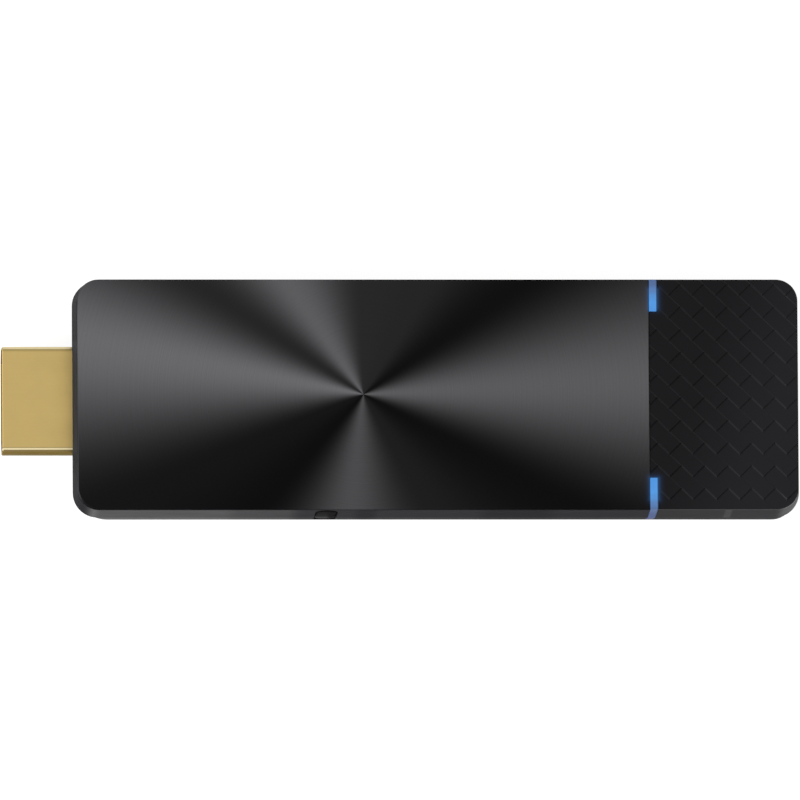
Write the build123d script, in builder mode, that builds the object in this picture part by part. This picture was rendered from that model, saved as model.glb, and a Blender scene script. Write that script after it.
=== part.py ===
"""Wireless display dongle, in millimetres.

+X runs from the plug to the far end, +Y to the rear side and +Z up. The origin lies
under the middle of the whole dongle, plug included, on the surface it rests on.
"""
from build123d import *
import os

os.makedirs("parts", exist_ok=True)

# Two drafted shells that meet at the parting line
body_length = 94.4  # along the parting line, as are the width and the corners
body_width = 30.8
body_height = 12.0
split_height = 6.0
draft_inset = 0.4  # lean of each wall from the parting line to its top or bottom edge
corner_radius = 3.2
lower_plug_corner_radius = 4.7  # the lower shell is rounder beside the plug
wall = 1.2  # at its thinnest, along the top and bottom edges
floor_thickness = 1.0
deck_thickness = 0.9
bottom_edge_radius = 0.5
lip_height = 0.6
lip_thickness = 0.65
lip_clearance = 0.05
snap_bead_radius = 0.18
snap_bead_length = 6.0
snap_end_margin = 14.0  # from the plug end and from the light seam to the nearest bead
cap_snap_margin = 9.0
seam = 0.05  # open line between pieces that show side by side
overcut = 1.0  # how far a cutting form runs on past each face of a wall

# Spun plate on the deck, and the cap over the antennas beyond it
plate_length = 74.3
plate_thickness = 0.5
plate_edge_chamfer = 0.12
adhesive_thickness = 0.1
adhesive_margin = 0.8
cap_deck_thickness = 1.2
lap_reach = 2.0
lap_thickness = 0.8
lap_clearance = 0.1

# Light guides at the seam between plate and cap
light_width = 1.0
light_reach = 4.1  # inward from the top edge
light_tail_height = 1.2
light_tail_reach = 2.2
led_length = 1.6
led_width = 0.8
led_height = 0.6
led_gap = 0.1

# Key in the front wall
key_from_plate_left = 32.4
key_width = 2.7
key_end_margin = 1.8  # from the key's round ends to the top and bottom of the body
key_edge_radius = 0.35
key_recess = 0.08
key_clearance = 0.1
key_travel = 0.25
pocket_width = 2.95
pocket_end_margin = 0.8
pocket_depth = 0.7
key_flange_width = 4.4
key_flange_thickness = 0.8
key_flange_end_step = 0.2
key_wall_gap = 0.1

# Switch behind the key
switch_length = 4.4
switch_depth = 2.6
switch_height = 2.0
plunger_width = 1.6
plunger_height = 0.9
plunger_reach = 0.7
plunger_grip = 0.9
plunger_clearance = 0.05

# Video plug
plug_reach = 9.1  # past the body's parting line
plug_width = 13.9
plug_height = 4.45
plug_narrow_width = 10.3
plug_slope_height = 1.2
plug_top_radius = 0.75
plug_low_radius = 0.5
plug_metal = 0.3
plug_fit = 0.03
plug_centre_height = 4.0
plug_shell_length = 15.0
plug_lead_in = 0.12
insulator_recess = 0.5
plug_slot_width = 11.6
plug_slot_depth = 8.2
contact_width = 0.45
contact_thickness = 0.3
contact_pitch = 1.0
upper_contacts = 10
lower_contacts = 9
contact_setback = 0.7
contact_tail = 1.5
contact_clearance = 0.02
block_length = 7.0
block_width = 15.1
block_height = 5.2
collar_width = 16.8
collar_height = 5.8
collar_thickness = 1.2
block_wall_gap = 0.1
rib_thickness = 1.0  # ribs that hold the block above and below
opening_clearance = 0.1

# Board and its screws
board_thickness = 1.2
board_edge_gap = 0.5
board_corner_radius = 1.0
key_notch_clearance = 0.4
screw_edge_inset = 2.3
near_screw_inset = 3.0
far_screw_from_plate = 6.0
boss_radius = 1.8
pilot_radius = 0.6
pilot_depth = 2.2
screw_shank_radius = 0.55
screw_reach = 3.2
screw_head_radius = 1.35
screw_head_height = 0.7
screw_head_chamfer = 0.2
screw_slot_width = 0.35
screw_slot_depth = 0.35
screw_hole_clearance = 0.2

# Parts on the board
shield_from_left = 6.5
shield_length = 30.0
shield_rear_gap = 2.3
shield_switch_gap = 1.6
shield_height = 3.0
shield_metal = 0.2
lid_skirt = 1.0
lid_clearance = 0.03
soc_size = 13.0
soc_height = 1.6
memory_length = 9.0
memory_wall_gap = 1.4
memory_height = 1.0
memory_gap = 1.0
chip_margin = 2.0
spreader_thickness = 0.5
spreader_edge_gap = 2.4
pad_margin = 2.0
radio_can_length = 14.0
radio_can_height = 1.8
radio_can_gap = 2.0
radio_chip_size = 7.0
radio_chip_height = 0.9
flash_length = 6.0
flash_width = 5.0
flash_height = 0.9
crystal_length = 3.2
crystal_width = 2.5
crystal_height = 0.8
inductor_size = 3.0
inductor_height = 1.6
inductor_pitch = 6.0
capacitor_length = 1.0
capacitor_width = 0.5
capacitor_height = 0.5
capacitor_pitch = 1.8
capacitor_count = 8
capacitor_edge_gap = 3.8
part_edge_gap = 1.8
part_gap = 1.5  # between neighbours on the board

# Stamped antennas under the cap
antenna_length = 10.4
antenna_width = 4.8
antenna_metal = 0.2
antenna_height = 5.0
antenna_from_seam = 3.6
antenna_edge_gap = 2.2
antenna_leg = 1.0
antenna_slot = 0.8
antenna_arm = 1.2

# Power socket in the far end wall
socket_width = 7.5
socket_narrow_width = 5.6
socket_height = 2.45
socket_slope_height = 0.9
socket_length = 5.6
socket_metal = 0.25
socket_setback = 0.6
socket_clearance = 0.1
socket_tongue_width = 3.8
socket_tongue_thickness = 0.6
socket_tongue_reach = 4.4
socket_contact_width = 0.35
socket_contact_thickness = 0.15
socket_contact_pitch = 0.65
socket_contact_count = 5

# Places that follow from the sizes above
plug_tip = -(plug_reach + body_length) / 2
body_left = plug_tip + plug_reach
body_right = body_left + body_length
body_centre = (body_left + body_right) / 2
body_side = body_width / 2
plate_left = body_left + draft_inset
plate_right = plate_left + plate_length
plate_underside = body_height - plate_thickness
deck_top = plate_underside - adhesive_thickness
deck_underside = deck_top - deck_thickness
cavity_inset = draft_inset + wall
cavity_left = body_left + cavity_inset
cavity_right = body_right - cavity_inset
cavity_side = body_side - cavity_inset
lap_top = body_height - cap_deck_thickness - lap_clearance
cap_left = plate_right + seam
board_bottom = plug_centre_height - board_thickness / 2
board_top = board_bottom + board_thickness
block_left = cavity_left + block_wall_gap
block_right = block_left + block_length
board_left = block_right + block_wall_gap
board_right = cavity_right - board_edge_gap
board_side = cavity_side - board_edge_gap
key_x = plate_left + key_from_plate_left
key_height = body_height - 2 * key_end_margin
flange_front = cavity_side - key_wall_gap
flange_back = flange_front - key_flange_thickness
switch_face = flange_back - plunger_reach
slot_height = board_thickness + 2 * contact_thickness
rib_places = [
    (block_left + collar_thickness + block_wall_gap + rib_thickness / 2, 0),
    (block_right - rib_thickness / 2, 0),
]
snap_places = [
    body_left + snap_end_margin,
    plate_right - snap_end_margin,
    body_right - cap_snap_margin,
]
screw_places = [
    (x, side * (board_side - screw_edge_inset))
    for x in (board_left + near_screw_inset, plate_right - far_screw_from_plate)
    for side in (-1, 1)
]


def inset_at(height):
    """How far the drafted wall stands in from the parting line at a height."""
    if height >= split_height:
        return draft_inset * (height - split_height) / (body_height - split_height)
    return draft_inset * (split_height - height) / split_height


def body_outline(inset, plug_end_radius):
    """Plan outline of the body, with its own corner radius beside the plug."""
    with BuildSketch(mode=Mode.PRIVATE) as outline:
        with Locations((body_centre, 0)):
            Rectangle(body_length - 2 * inset, body_width - 2 * inset)
        fillet(outline.vertices().group_by(Axis.X)[0], plug_end_radius - inset)
        fillet(outline.vertices().group_by(Axis.X)[-1], corner_radius - inset)
    return outline.sketch


def drafted_form(low, high, plug_end_radius, extra_inset=0.0):
    """The body's outer form between two heights on one side of the parting line."""
    with BuildPart(mode=Mode.PRIVATE) as form:
        for height in (low, high):
            with BuildSketch(Plane.XY.offset(height)):
                add(body_outline(inset_at(height) + extra_inset, plug_end_radius))
        loft(ruled=True)
    return form.part


def plug_outline(growth):
    """Section across the plug: wide above, with both lower corners sloped in."""
    half_width = plug_width / 2
    half_narrow = plug_narrow_width / 2
    half_height = plug_height / 2
    with BuildSketch(mode=Mode.PRIVATE) as outline:
        with BuildLine():
            Polyline(
                (-half_narrow, -half_height),
                (half_narrow, -half_height),
                (half_width, plug_slope_height - half_height),
                (half_width, half_height),
                (-half_width, half_height),
                (-half_width, plug_slope_height - half_height),
                close=True,
            )
        make_face()
        fillet(outline.vertices().group_by(Axis.Y)[-1], plug_top_radius)
        fillet(outline.vertices().group_by(Axis.Y)[0], plug_low_radius)
        if growth:
            offset(amount=growth)
    return outline.sketch.moved(Location((0, plug_centre_height)))


def contact_section(growth):
    """Sections of both rows of plug contacts, which lie along the slot's faces."""
    row_height = (board_thickness + contact_thickness) / 2
    with BuildSketch(mode=Mode.PRIVATE) as section:
        for count, row in ((upper_contacts, row_height), (lower_contacts, -row_height)):
            with Locations((0, plug_centre_height + row)):
                with GridLocations(contact_pitch, 0, count, 1):
                    Rectangle(contact_width + 2 * growth, contact_thickness + 2 * growth)
    return section.sketch


def socket_outline(growth):
    """Section across the power socket, wide side down, its upper corners sloped in."""
    half_width = socket_width / 2
    half_narrow = socket_narrow_width / 2
    with BuildSketch(mode=Mode.PRIVATE) as outline:
        with BuildLine():
            Polyline(
                (-half_width, board_top),
                (half_width, board_top),
                (half_width, board_top + socket_height - socket_slope_height),
                (half_narrow, board_top + socket_height),
                (-half_narrow, board_top + socket_height),
                (-half_width, board_top + socket_height - socket_slope_height),
                close=True,
            )
        make_face()
        fillet(outline.vertices(), socket_metal)
        if growth:
            offset(amount=growth)
    return outline.sketch


def save(piece, name):
    """Label a finished piece and write it as its own file."""
    piece.part.label = name
    export_step(piece.part, f"parts/{name}.step")


def snap_beads(growth):
    """Rounded beads along both sides of the lip or, grown a little, their grooves."""
    lip_face = body_side - cavity_inset + lip_thickness
    with BuildPart(mode=Mode.PRIVATE) as beads:
        for place in snap_places:
            with BuildSketch(Plane.YZ.offset(place)):
                with Locations((0, split_height + lip_height / 2)):
                    with GridLocations(2 * lip_face, 0, 2, 1):
                        Circle(snap_bead_radius + growth)
            extrude(amount=snap_bead_length / 2 + growth, both=True)
    return beads.part


upper_form = drafted_form(split_height, body_height, corner_radius)
lower_form = drafted_form(0, split_height, lower_plug_corner_radius)

# Top plate: spun sheet with square edges at the light seam and a fine chamfer round its rim
with BuildPart() as top_plate:
    add(drafted_form(plate_underside, body_height, corner_radius))
    split(bisect_by=Plane.YZ.offset(plate_right), keep=Keep.BOTTOM)
    chamfer(top_plate.faces().sort_by(Axis.Z)[-1].edges(), plate_edge_chamfer)
save(top_plate, "top_plate")

# Adhesive film that holds the plate to the deck
with BuildPart() as plate_adhesive:
    with BuildSketch(Plane.XY.offset(deck_top)):
        add(body_outline(draft_inset + adhesive_margin, corner_radius))
    extrude(amount=adhesive_thickness)
    split(bisect_by=Plane.YZ.offset(plate_right - adhesive_margin), keep=Keep.BOTTOM)
save(plate_adhesive, "plate_adhesive")

# What passes through the walls: the plug, the key with its pocket, and the power socket
with BuildPart() as plug_passage:
    with BuildSketch(Plane.YZ.offset(body_left - overcut)):
        add(plug_outline(opening_clearance))
    extrude(amount=cavity_inset + 2 * overcut)

with BuildPart() as key_passage:
    with BuildSketch(Plane.XZ.offset(cavity_side - overcut)):
        with Locations((key_x, body_height / 2)):
            SlotOverall(key_height + 2 * key_clearance, key_width + 2 * key_clearance, rotation=90)
    extrude(amount=cavity_inset + 2 * overcut)
    with BuildSketch(Plane.XZ.offset(body_side - pocket_depth)):
        with Locations((key_x, body_height / 2)):
            SlotOverall(body_height - 2 * pocket_end_margin, pocket_width, rotation=90)
    extrude(amount=pocket_depth + overcut)

with BuildPart() as socket_passage:
    with BuildSketch(Plane.YZ.offset(cavity_right - overcut)):
        add(socket_outline(socket_clearance))
    extrude(amount=cavity_inset + 2 * overcut)

# Light guide: a bar let into the side wall, turned in over the top edge, with a tail
# that reaches in over the status light on the board
guide_limbs = (
    (body_side - draft_inset - light_reach, body_side, body_height - cap_deck_thickness, body_height),
    (cavity_side, body_side, floor_thickness, body_height),
    (
        cavity_side - light_tail_reach,
        cavity_side,
        board_top + led_height + led_gap,
        board_top + led_height + led_gap + light_tail_height,
    ),
)


def light_guide_bar(growth):
    """The front light guide's limbs, not yet trimmed to the body's walls."""
    with BuildPart(mode=Mode.PRIVATE) as bar:
        with BuildSketch(Plane.YZ.offset(cap_left - growth)):
            for inner, outer, low, high in guide_limbs:
                with Locations((-(inner + outer) / 2, (low + high) / 2)):
                    Rectangle(outer - inner + 2 * growth, high - low + 2 * growth)
        extrude(amount=light_width + 2 * growth)
    return bar.part


with BuildPart() as light_guide_front:
    add(upper_form)
    add(lower_form)
    add(light_guide_bar(0), mode=Mode.INTERSECT)
save(light_guide_front, "light_guide_front")

with BuildPart() as light_guide_rear:
    mirror(light_guide_front.part, about=Plane.XZ)
save(light_guide_rear, "light_guide_rear")

with BuildPart() as light_notches:
    add(light_guide_bar(seam))
    mirror(about=Plane.XZ)

# Upper housing: walls and the deck that carries the plate, rebated for the lower lip,
# with a lap that reaches under the cap and ribs that hold the plug block down
with BuildPart() as upper_housing:
    add(drafted_form(split_height, deck_top, corner_radius))
    with BuildSketch(Plane.XY.offset(split_height)):
        add(body_outline(cavity_inset, corner_radius))
    extrude(amount=deck_underside - split_height, mode=Mode.SUBTRACT)
    with BuildSketch(Plane.XY.offset(split_height)):
        add(body_outline(cavity_inset - lip_thickness - lip_clearance, lower_plug_corner_radius))
    extrude(amount=lip_height + lip_clearance, mode=Mode.SUBTRACT)
    add(snap_beads(lip_clearance), mode=Mode.SUBTRACT)
    split(bisect_by=Plane.YZ.offset(plate_right), keep=Keep.BOTTOM)
    with BuildSketch(Plane.XY.offset(lap_top - lap_thickness)):
        with Locations((plate_right, 0)):
            Rectangle(2 * lap_reach, 2 * (cavity_side - lap_clearance))
    extrude(amount=lap_thickness)
    with BuildSketch(Plane.XY.offset(deck_underside)):
        with Locations(*rib_places):
            Rectangle(rib_thickness, block_width - 2 * rib_thickness)
    extrude(amount=-(deck_underside - plug_centre_height - block_height / 2 - block_wall_gap))
    add(plug_passage.part, mode=Mode.SUBTRACT)
    add(key_passage.part, mode=Mode.SUBTRACT)
save(upper_housing, "upper_housing")

# Antenna cap: the far end's own walls and deck, open to radio, notched for the lights
# and cut through for the power socket
with BuildPart() as antenna_cap:
    add(upper_form)
    with BuildSketch(Plane.XY.offset(split_height)):
        add(body_outline(cavity_inset, corner_radius))
    extrude(amount=body_height - cap_deck_thickness - split_height, mode=Mode.SUBTRACT)
    with BuildSketch(Plane.XY.offset(split_height)):
        add(body_outline(cavity_inset - lip_thickness - lip_clearance, lower_plug_corner_radius))
    extrude(amount=lip_height + lip_clearance, mode=Mode.SUBTRACT)
    add(snap_beads(lip_clearance), mode=Mode.SUBTRACT)
    split(bisect_by=Plane.YZ.offset(cap_left), keep=Keep.TOP)
    add(light_notches.part, mode=Mode.SUBTRACT)
    add(socket_passage.part, mode=Mode.SUBTRACT)
save(antenna_cap, "antenna_cap")

# Lower housing: a tray with a lip inside the upper walls, screw bosses under the board
# and cradle ribs under the plug block
with BuildPart() as lower_housing:
    add(lower_form)
    fillet(lower_housing.faces().sort_by(Axis.Z)[0].edges(), bottom_edge_radius)
    with BuildSketch(Plane.XY.offset(split_height)):
        add(body_outline(cavity_inset - lip_thickness, lower_plug_corner_radius))
    extrude(amount=lip_height)
    add(snap_beads(0))
    with BuildSketch(Plane.XY.offset(floor_thickness)):
        add(body_outline(cavity_inset, lower_plug_corner_radius))
    extrude(amount=split_height + lip_height - floor_thickness, mode=Mode.SUBTRACT)
    with BuildSketch(Plane.XY.offset(floor_thickness)):
        with Locations(*screw_places):
            Circle(boss_radius)
    extrude(amount=board_bottom - floor_thickness)
    with BuildSketch(Plane.XY.offset(floor_thickness)):
        with Locations(*rib_places):
            Rectangle(rib_thickness, block_width - 2 * rib_thickness)
    extrude(amount=plug_centre_height - block_height / 2 - block_wall_gap - floor_thickness)
    with BuildSketch(Plane.XY.offset(board_bottom)):
        with Locations(*screw_places):
            Circle(pilot_radius)
    extrude(amount=-pilot_depth, mode=Mode.SUBTRACT)
    add(plug_passage.part, mode=Mode.SUBTRACT)
    add(key_passage.part, mode=Mode.SUBTRACT)
    add(light_notches.part, mode=Mode.SUBTRACT)
    add(socket_passage.part, mode=Mode.SUBTRACT)
save(lower_housing, "lower_housing")

# Side key: a rounded head that follows the two facets of the wall, on a flange that
# is wider than its opening
with BuildPart() as key_head:
    with BuildSketch(Plane.XZ.offset(flange_front)):
        with Locations((key_x, body_height / 2)):
            SlotOverall(key_height, key_width, rotation=90)
    extrude(amount=body_side - flange_front)

with BuildPart() as side_key:
    add(drafted_form(split_height, body_height, corner_radius, key_recess))
    add(drafted_form(0, split_height, lower_plug_corner_radius, key_recess))
    add(key_head.part, mode=Mode.INTERSECT)
    rim = side_key.edges().filter_by(lambda edge: edge.center().Y < -flange_front - key_clearance)
    facet_ridge = rim.filter_by(Axis.X)
    fillet(rim - facet_ridge - rim.filter_by(Axis.Y), key_edge_radius)
    with BuildSketch(Plane.XZ.offset(flange_front)):
        with Locations((key_x, body_height / 2)):
            Rectangle(key_flange_width, key_height - 2 * key_flange_end_step)
    extrude(amount=-key_flange_thickness)
save(side_key, "side_key")

# Key switch on the board's edge: its plunger rests on the key's flange
with BuildPart() as switch_plunger:
    with BuildSketch(Plane.XZ.offset(flange_back)):
        with Locations((key_x, board_top + switch_height / 2)):
            Rectangle(plunger_width, plunger_height)
    extrude(amount=-(plunger_reach + plunger_grip))
save(switch_plunger, "switch_plunger")

with BuildPart() as switch_body:
    with BuildSketch(Plane.XZ.offset(switch_face)):
        with Locations((key_x, board_top + switch_height / 2)):
            Rectangle(switch_length, switch_height)
    extrude(amount=-switch_depth)
    with BuildSketch(Plane.XZ.offset(switch_face)):
        with Locations((key_x, board_top + switch_height / 2)):
            Rectangle(plunger_width + 2 * plunger_clearance, plunger_height + 2 * plunger_clearance)
    extrude(amount=-(plunger_grip + 2 * key_travel), mode=Mode.SUBTRACT)
    chamfer(switch_body.faces().sort_by(Axis.Z)[-1].edges().filter_by(Axis.Y), plunger_clearance)
save(switch_body, "switch_body")

# Video plug shell: folded sheet, open at both ends, with a rolled lead-in at its mouth
with BuildPart() as plug_shell:
    with BuildSketch(Plane.YZ.offset(plug_tip)):
        add(plug_outline(0))
        add(plug_outline(-plug_metal), mode=Mode.SUBTRACT)
    extrude(amount=plug_shell_length)
    mouth = plug_shell.faces().sort_by(Axis.X)[0]
    chamfer(mouth.outer_wire().edges(), plug_lead_in)
save(plug_shell, "plug_shell")

# Contacts: two rows that lie in the slot and reach back to both faces of the board
with BuildPart() as plug_contacts:
    with BuildSketch(Plane.YZ.offset(plug_tip + insulator_recess + contact_setback)):
        add(contact_section(0))
    extrude(amount=block_right + contact_tail - plug_tip - insulator_recess - contact_setback)
save(plug_contacts, "plug_contacts")

with BuildPart() as contact_channels:
    with BuildSketch(Plane.YZ.offset(plug_tip + insulator_recess)):
        add(contact_section(contact_clearance))
    extrude(amount=block_right + overcut - plug_tip - insulator_recess)

# Plug insulator: fills the shell round a slot with the contacts along its faces
with BuildPart() as plug_insulator:
    with BuildSketch(Plane.YZ.offset(plug_tip + insulator_recess)):
        add(plug_outline(-plug_metal - plug_fit))
    extrude(amount=plug_shell_length - insulator_recess)
    with BuildSketch(Plane.YZ.offset(plug_tip + insulator_recess)):
        with Locations((0, plug_centre_height)):
            Rectangle(plug_slot_width, slot_height + 2 * contact_clearance)
    extrude(amount=plug_slot_depth, mode=Mode.SUBTRACT)
    add(contact_channels.part, mode=Mode.SUBTRACT)
save(plug_insulator, "plug_insulator")

# Plug rear block: a collar behind the end wall, and a body that holds the shell's end
with BuildPart() as plug_rear_block:
    with BuildSketch(Plane.YZ.offset(block_left)):
        with Locations((0, plug_centre_height)):
            RectangleRounded(collar_width, collar_height, plug_top_radius)
    extrude(amount=collar_thickness)
    with BuildSketch(Plane.YZ.offset(block_left)):
        with Locations((0, plug_centre_height)):
            RectangleRounded(block_width, block_height, plug_top_radius)
    extrude(amount=block_length)
    with BuildSketch(Plane.YZ.offset(block_left)):
        add(plug_outline(plug_fit))
    extrude(amount=plug_tip + plug_shell_length + plug_fit - block_left, mode=Mode.SUBTRACT)
    add(contact_channels.part, mode=Mode.SUBTRACT)
save(plug_rear_block, "plug_rear_block")

# Main board: bored for its screws and cut back behind the key's flange
with BuildPart() as main_board:
    with BuildSketch(Plane.XY.offset(board_bottom)):
        with Locations(((board_left + board_right) / 2, 0)):
            RectangleRounded(board_right - board_left, 2 * board_side, board_corner_radius)
        with Locations((key_x, -board_side)):
            Rectangle(
                key_flange_width + 2 * key_notch_clearance,
                2 * (board_side - switch_face),
                mode=Mode.SUBTRACT,
            )
        with Locations(*screw_places):
            Circle(screw_shank_radius + screw_hole_clearance, mode=Mode.SUBTRACT)
    extrude(amount=board_thickness)
save(main_board, "main_board")

# Board screws: pan heads with one slot
with BuildPart() as board_screws:
    with BuildSketch(Plane.XY.offset(board_top)):
        with Locations(*screw_places):
            Circle(screw_head_radius)
    extrude(amount=screw_head_height)
    chamfer(board_screws.faces().filter_by(Axis.Z).group_by(Axis.Z)[-1].edges(), screw_head_chamfer)
    with BuildSketch(Plane.XY.offset(board_top)):
        with Locations(*screw_places):
            Circle(screw_shank_radius)
    extrude(amount=-screw_reach)
    with BuildSketch(Plane.XY.offset(board_top + screw_head_height)):
        with Locations(*screw_places):
            Rectangle(2 * screw_head_radius, screw_slot_width)
    extrude(amount=-screw_slot_depth, mode=Mode.SUBTRACT)
save(board_screws, "board_screws")


def chip(name, x, y, length, width, height, base=board_top, columns=1, rows=1, pitch=(0, 0)):
    """A flat block, or a grid of them, that stands on the board or on another part."""
    with BuildPart() as block:
        with BuildSketch(Plane.XY.offset(base)):
            with Locations((x, y)):
                with GridLocations(pitch[0], pitch[1], columns, rows):
                    Rectangle(length, width)
        extrude(amount=height)
    save(block, name)
    return block


# Shield frame: a folded wall round the main chips, open above, between the key switch
# and the rear edge of the board
shield_x = board_left + shield_from_left + shield_length / 2
shield_front = -(switch_face - switch_depth - shield_switch_gap)
shield_rear = board_side - shield_rear_gap
shield_y = (shield_front + shield_rear) / 2
shield_width = shield_rear - shield_front
with BuildPart() as shield_frame:
    with BuildSketch(Plane.XY.offset(board_top)):
        with Locations((shield_x, shield_y)):
            RectangleRounded(shield_length, shield_width, shield_metal * 2)
        offset(amount=-shield_metal, mode=Mode.SUBTRACT)
    extrude(amount=shield_height)
save(shield_frame, "shield_frame")

# Shield lid: pressed over the frame, its skirt outside
lid_metal_and_gap = shield_metal + lid_clearance
with BuildPart() as shield_lid:
    with BuildSketch(Plane.XY.offset(board_top + shield_height - lid_skirt)):
        with Locations((shield_x, shield_y)):
            RectangleRounded(
                shield_length + 2 * lid_metal_and_gap,
                shield_width + 2 * lid_metal_and_gap,
                lid_metal_and_gap + shield_metal,
            )
    extrude(amount=lid_skirt + shield_metal)
    with BuildSketch(Plane.XY.offset(board_top + shield_height - lid_skirt)):
        with Locations((shield_x, shield_y)):
            Rectangle(shield_length + 2 * lid_clearance, shield_width + 2 * lid_clearance)
    extrude(amount=lid_skirt, mode=Mode.SUBTRACT)
save(shield_lid, "shield_lid")

# Under the lid: the main chip with its pad, and two memory chips beside it
soc_x = shield_x - shield_length / 2 + chip_margin + soc_size / 2
memory_x = soc_x + soc_size / 2 + memory_gap + memory_length / 2
memory_width = (shield_width - memory_gap) / 2 - memory_wall_gap
chip("soc_chip", soc_x, shield_y, soc_size, soc_size, soc_height)
chip(
    "soc_thermal_pad",
    soc_x,
    shield_y,
    soc_size,
    soc_size,
    shield_height - soc_height,
    base=board_top + soc_height,
)
chip(
    "memory_chips",
    memory_x,
    shield_y,
    memory_length,
    memory_width,
    memory_height,
    rows=2,
    pitch=(0, memory_width + memory_gap),
)

# Heat path from the lid to the deck: a soft pad, then a spreader under the deck
spreader_left = board_left + shield_from_left
spreader_right = plate_right - far_screw_from_plate
spreader_underside = deck_underside - spreader_thickness
lid_top = board_top + shield_height + shield_metal
chip(
    "heat_spreader",
    (spreader_left + spreader_right) / 2,
    0,
    spreader_right - spreader_left,
    2 * (cavity_side - spreader_edge_gap),
    spreader_thickness,
    base=spreader_underside,
)
chip(
    "lid_thermal_pad",
    shield_x,
    shield_y,
    shield_length - 2 * pad_margin,
    shield_width - 2 * pad_margin,
    spreader_underside - lid_top,
    base=lid_top,
)

# Radio can, its chip, and the small parts round them
shield_right = shield_x + shield_length / 2
radio_x = shield_right + radio_can_gap + radio_can_length / 2
flash_x = radio_x - radio_can_length / 2 + flash_length / 2
flash_y = -board_side + part_edge_gap + flash_width / 2
crystal_x = flash_x + flash_length / 2 + part_gap + crystal_length / 2
inductor_x = radio_x + radio_can_length / 2 + part_gap + inductor_size / 2
capacitor_y = board_side - capacitor_edge_gap
radio_front = flash_y + flash_width / 2 + part_gap
radio_rear = capacitor_y - part_gap
radio_y = (radio_front + radio_rear) / 2
with BuildPart() as radio_can:
    with BuildSketch(Plane.XY.offset(board_top)):
        with Locations((radio_x, radio_y)):
            RectangleRounded(radio_can_length, radio_rear - radio_front, 2 * shield_metal)
    extrude(amount=radio_can_height)
    offset(amount=-shield_metal, openings=radio_can.faces().sort_by(Axis.Z)[0], kind=Kind.INTERSECTION)
save(radio_can, "radio_can")
chip("radio_chip", radio_x, radio_y, radio_chip_size, radio_chip_size, radio_chip_height)
chip("flash_chip", flash_x, flash_y, flash_length, flash_width, flash_height)
chip("crystal", crystal_x, flash_y, crystal_length, crystal_width, crystal_height)
chip(
    "power_inductors",
    inductor_x,
    radio_y,
    inductor_size,
    inductor_size,
    inductor_height,
    rows=2,
    pitch=(0, inductor_pitch),
)
chip(
    "capacitors",
    radio_x,
    capacitor_y,
    capacitor_length,
    capacitor_width,
    capacitor_height,
    columns=capacitor_count,
    pitch=(capacitor_pitch, 0),
)

# Status lights: one under the tail of each light guide
led_y = cavity_side - light_tail_reach + led_width / 2
chip(
    "status_leds",
    cap_left + light_width / 2,
    0,
    led_length,
    led_width,
    led_height,
    rows=2,
    pitch=(0, 2 * led_y),
)

# Antenna: a stamped plate, slotted from alternate edges, on two folded legs
antenna_left = cap_left + antenna_from_seam
antenna_y = board_side - antenna_edge_gap - antenna_width / 2
with BuildPart() as antenna_rear:
    with BuildSketch(Plane.XY.offset(board_top + antenna_height - antenna_metal)):
        with Locations((antenna_left + antenna_length / 2, antenna_y)):
            Rectangle(antenna_length, antenna_width)
        slot_pitch = antenna_arm + antenna_slot
        for turn in range(int((antenna_length - 2 * antenna_arm) / slot_pitch)):
            slot_x = antenna_left + 2 * antenna_arm + turn * slot_pitch + antenna_slot / 2
            slot_y = antenna_y + (-1) ** turn * antenna_arm / 2
            with Locations((slot_x, slot_y)):
                Rectangle(antenna_slot, antenna_width - antenna_arm, mode=Mode.SUBTRACT)
    extrude(amount=antenna_metal)
    with BuildSketch(Plane.XY.offset(board_top)):
        with Locations((antenna_left + antenna_metal / 2, antenna_y)):
            with GridLocations(0, antenna_width - antenna_leg, 1, 2):
                Rectangle(antenna_metal, antenna_leg)
    extrude(amount=antenna_height)
save(antenna_rear, "antenna_rear")

with BuildPart() as antenna_front:
    mirror(antenna_rear.part, about=Plane.XZ)
save(antenna_front, "antenna_front")

# Power socket: a folded shell on the board's end, with its mouth in the far wall
socket_mouth = body_right - socket_setback
socket_back = socket_mouth - socket_length
with BuildPart() as power_socket_shell:
    with BuildSketch(Plane.YZ.offset(socket_back)):
        add(socket_outline(0))
    extrude(amount=socket_length)
    with BuildSketch(Plane.YZ.offset(socket_back + socket_metal)):
        add(socket_outline(-socket_metal))
    extrude(amount=socket_length, mode=Mode.SUBTRACT)
save(power_socket_shell, "power_socket_shell")

# Socket tongue, which stands out from the shell's back, with its contacts underneath
tongue_middle = board_top + socket_height / 2
with BuildPart() as power_socket_tongue:
    with BuildSketch(Plane.YZ.offset(socket_back + socket_metal)):
        with Locations((0, tongue_middle)):
            Rectangle(socket_tongue_width, socket_tongue_thickness)
    extrude(amount=socket_tongue_reach)
save(power_socket_tongue, "power_socket_tongue")

with BuildPart() as power_socket_contacts:
    contact_middle = tongue_middle - (socket_tongue_thickness + socket_contact_thickness) / 2
    with BuildSketch(Plane.YZ.offset(socket_back + socket_metal)):
        with Locations((0, contact_middle)):
            with GridLocations(socket_contact_pitch, 0, socket_contact_count, 1):
                Rectangle(socket_contact_width, socket_contact_thickness)
    extrude(amount=socket_tongue_reach - socket_contact_width)
save(power_socket_contacts, "power_socket_contacts")
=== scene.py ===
"""Looks of the wireless display dongle, in metres, round its fixed construction model.

+X runs from the plug to the far end, +Y to the rear side and +Z up; the dongle lies on
a pale floor at z = 0.
"""
import math

import bmesh
import bpy
from mathutils import Matrix, Vector


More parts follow.
